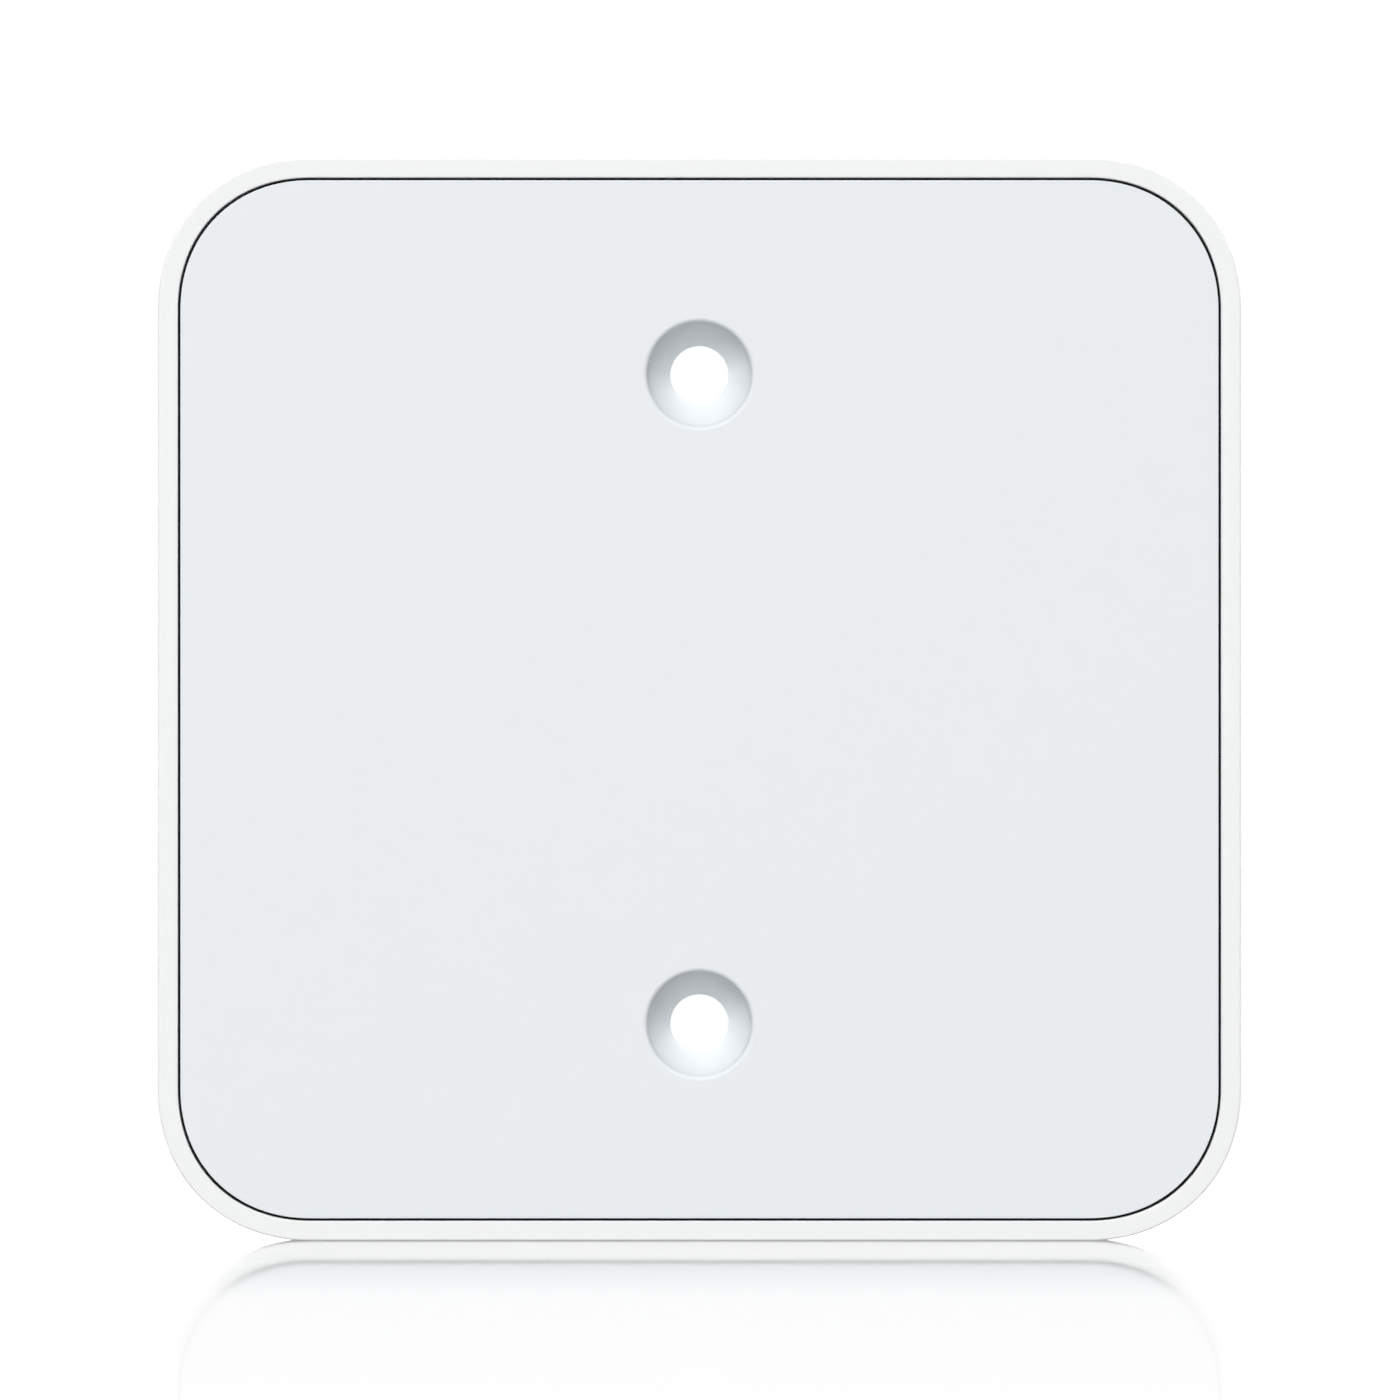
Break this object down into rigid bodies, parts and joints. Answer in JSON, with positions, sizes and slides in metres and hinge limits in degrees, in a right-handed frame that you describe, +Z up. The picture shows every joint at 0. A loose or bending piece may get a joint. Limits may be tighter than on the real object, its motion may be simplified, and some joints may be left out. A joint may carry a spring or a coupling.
{
  "type": "access point mounting plate",
  "caption": "Low square wall and ceiling plate with eased corners, a flush inset face panel, countersunk screw holes on its centre line and hidden magnets that hold a compact access point.",
  "frame": {"origin": "on the wall plane, at the middle of the plate, halfway between its two wall screw holes", "axes": "+Z up along the line of the two wall screw holes, +X to the right as the face is looked at, +Y into the wall, so the face looks along -Y"},
  "size_m": [0.1, 0.008, 0.1],
  "materials": {
    "shell": "white moulded plastic, fine satin texture",
    "panel": "cool light grey moulded plastic, fine satin texture",
    "gasket": "black closed-cell foam",
    "yoke": "stamped steel sheet, zinc plated",
    "magnet": "sintered magnet, bright nickel plated",
    "screw": "steel, clear zinc plated",
    "pad": "mid grey silicone rubber"
  },
  "bodies": {
    "root": {"rear_shell": "shell", "front_panel": "panel", "panel_gasket": "gasket", "steel_yoke": "yoke", "magnet_1": "magnet", "magnet_2": "magnet", "magnet_3": "magnet", "magnet_4": "magnet", "magnet_5": "magnet", "magnet_6": "magnet", "magnet_7": "magnet", "magnet_8": "magnet", "panel_screw_1": "screw", "panel_screw_2": "screw", "panel_screw_3": "screw", "panel_screw_4": "screw", "grip_pad_left": "pad", "grip_pad_right": "pad", "grip_pad_top": "pad", "grip_pad_bottom": "pad"}
  },
  "joints": []
}
